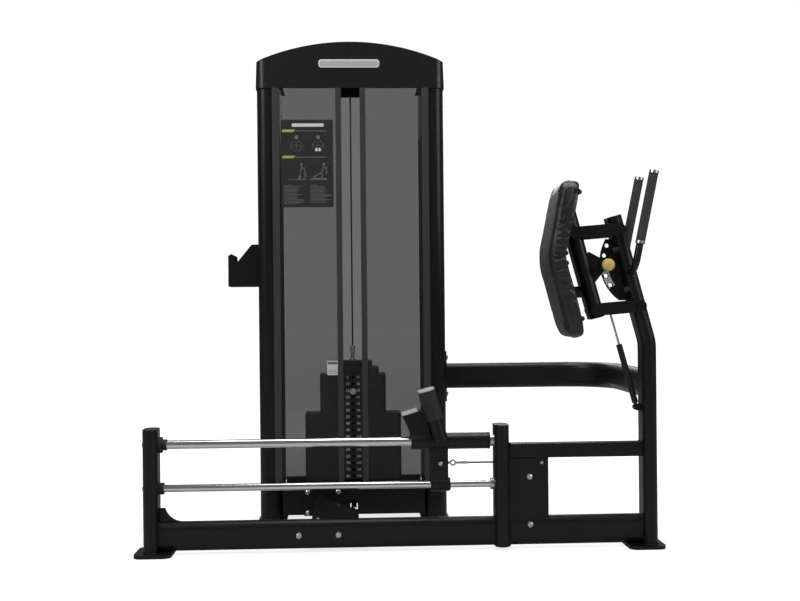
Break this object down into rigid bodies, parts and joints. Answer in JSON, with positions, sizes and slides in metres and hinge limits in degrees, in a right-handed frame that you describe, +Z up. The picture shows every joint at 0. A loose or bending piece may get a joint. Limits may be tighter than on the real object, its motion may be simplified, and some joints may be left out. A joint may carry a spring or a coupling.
{
  "type": "glute press machine",
  "caption": "Standing glute press: foot carriage on two guide rods, cable to a pin-loaded stack tower, adjustable bent chest pad, two upright grips.",
  "frame": {"origin": "bottom centre of the whole machine's box, on the floor", "axes": "+X along the guide rods towards the chest pad, +Y from the front frame towards the stack tower, +Z up"},
  "size_m": [1.805, 0.88, 1.8659],
  "materials": {
    "powder_coat": "satin black powder coat",
    "gloss_black": "gloss",
    "black_plastic": "matte",
    "chrome": "polished",
    "bright_steel": "zinc plated",
    "alu": "brushed",
    "rubber": "matte",
    "grip_rubber": "textured",
    "leather": "fine grain",
    "smoked": "smoked sheet",
    "iron": "painted",
    "yellow": "satin",
    "placard": "printed",
    "cable": "plastic coated"
  },
  "bodies": {
    "root": {"left_base_tube": "powder_coat", "right_base_tube": "powder_coat", "short_posts": "powder_coat", "right_post": "powder_coat", "crossbar": "powder_coat", "frame_plates": "powder_coat", "pulley_cover": "powder_coat", "base_feet": "powder_coat", "post_caps": "black_plastic", "guide_rods": "chrome", "rod_collars": "bright_steel", "rubber_stops": "rubber", "frame_bolts": "bright_steel", "cross_tube": "powder_coat", "corner_cover": "powder_coat", "pulley_axles": "bright_steel", "machine_cable": "cable", "carriage_cable": "cable", "stack_cable": "cable", "tower_columns": "powder_coat", "tower_base": "powder_coat", "tower_top_beam": "powder_coat", "hood": "gloss_black", "smoked_shields": "smoked", "shield_channels": "black_plastic", "placard": "placard", "stack_guide_rods": "chrome", "resting_plates": "iron", "accessory_holder": "powder_coat", "stabiliser_tube": "powder_coat", "handle_tubes": "powder_coat", "grips": "grip_rubber", "grip_collars": "alu", "index_sector": "powder_coat", "pivot_pins": "bright_steel"},
    "carriage": {"carriage_sleeve": "powder_coat", "carriage_bushings": "black_plastic", "carriage_hanger": "powder_coat", "pedal_stem": "powder_coat", "pedal_pad": "rubber", "heel_block": "powder_coat", "pedal_caps": "alu", "cable_eyebolt": "bright_steel"},
    "stack": {"lifted_plates": "iron", "head_plate": "iron", "selector_rod": "bright_steel"},
    "selector_pin": {"selector_pin": "chrome"},
    "upper_front_pulley": {"upper_front_pulley": "black_plastic"},
    "lower_front_pulley": {"lower_front_pulley": "black_plastic"},
    "corner_pulley": {"corner_pulley": "black_plastic"},
    "tower_base_pulley": {"tower_base_pulley": "black_plastic"},
    "top_pulley": {"top_pulley": "black_plastic"},
    "upper_link": {"upper_links": "powder_coat"},
    "lower_link": {"lower_links": "powder_coat"},
    "chest_pad": {"pad_carrier": "powder_coat", "pad_board": "powder_coat", "pad_cushion": "leather"},
    "pop_pin": {"pop_pin": "yellow"},
    "gas_cylinder": {"gas_cylinder": "gloss_black"},
    "gas_rod": {"gas_rod": "chrome"}
  },
  "joints": [
    {"name": "carriage_slide", "type": "slide", "parent": "root", "child": "carriage", "axis": [-1, 0, 0], "range_m": [0, 0.82], "deforming": ["carriage_cable"]},
    {"name": "stack_lift", "type": "slide", "parent": "root", "child": "stack", "axis": [0, 0, 1], "range_m": [0, 0.82], "deforming": ["stack_cable"]},
    {"name": "selector_pin_pull", "type": "slide", "parent": "stack", "child": "selector_pin", "axis": [0, -1, 0], "range_m": [0, 0.12]},
    {"name": "upper_front_pulley_spin", "type": "hinge", "parent": "root", "child": "upper_front_pulley", "pos_m": [0.441, -0.315, 0.247], "axis": [0, 1, 0], "range_deg": [-949.7, 10]},
    {"name": "lower_front_pulley_spin", "type": "hinge", "parent": "root", "child": "lower_front_pulley", "pos_m": [0.441, -0.315, 0.084], "axis": [0, 1, 0], "range_deg": [-949.7, 10]},
    {"name": "corner_pulley_spin", "type": "hinge", "parent": "root", "child": "corner_pulley", "pos_m": [-0.132, -0.285, 0.034], "axis": [0, 0, 1], "range_deg": [-10, 1576.1]},
    {"name": "tower_base_pulley_spin", "type": "hinge", "parent": "root", "child": "tower_base_pulley", "pos_m": [-0.162, 0.355, 0.084], "axis": [1, 0, 0], "range_deg": [-949.7, 10]},
    {"name": "top_pulley_spin", "type": "hinge", "parent": "root", "child": "top_pulley", "pos_m": [-0.162, 0.35, 1.745], "axis": [1, 0, 0], "range_deg": [-864.2, 10]},
    {"name": "pad_lift", "type": "hinge", "parent": "root", "child": "upper_link", "pos_m": [0.753, -0.315, 1.093], "axis": [0, 1, 0], "range_deg": [-27, 27]},
    {"name": "pad_level", "type": "hinge", "parent": "upper_link", "child": "chest_pad", "pos_m": [0.603, -0.315, 1.081], "axis": [0, 1, 0], "range_deg": [-27.5, 27.5]},
    {"name": "lower_link_swing", "type": "hinge", "parent": "root", "child": "lower_link", "pos_m": [0.823, -0.315, 0.83], "axis": [0, 1, 0], "range_deg": [-27.5, 27.5]},
    {"name": "pop_pin_pull", "type": "slide", "parent": "chest_pad", "child": "pop_pin", "axis": [0, -1, 0], "range_m": [0, 0.013], "stiffness_N_per_m": 600, "springref_m": -0.003},
    {"name": "gas_cylinder_swing", "type": "hinge", "parent": "root", "child": "gas_cylinder", "pos_m": [0.819, -0.315, 0.48], "axis": [0, 1, 0], "range_deg": [-6, 6]},
    {"name": "gas_rod_slide", "type": "slide", "parent": "gas_cylinder", "child": "gas_rod", "axis": [-0.2624, 0, 0.965], "range_m": [-0.06, 0.06]}
  ],
  "couplings": [
    {"joint": "stack_lift", "follows": "carriage_slide", "ratio": 1},
    {"joint": "upper_front_pulley_spin", "follows": "carriage_slide", "rad_per_m": -20},
    {"joint": "lower_front_pulley_spin", "follows": "carriage_slide", "rad_per_m": -20},
    {"joint": "corner_pulley_spin", "follows": "carriage_slide", "rad_per_m": 33.333},
    {"joint": "tower_base_pulley_spin", "follows": "carriage_slide", "rad_per_m": -20},
    {"joint": "top_pulley_spin", "follows": "carriage_slide", "rad_per_m": -18.182},
    {"joint": "pad_level", "follows": "pad_lift", "ratio": -1},
    {"joint": "lower_link_swing", "follows": "pad_lift", "ratio": 1},
    {"joint": "gas_cylinder_swing", "follows": "pad_lift", "ratio": 0.048},
    {"joint": "gas_rod_slide", "follows": "pad_lift", "m_per_rad": 0.092}
  ]
}
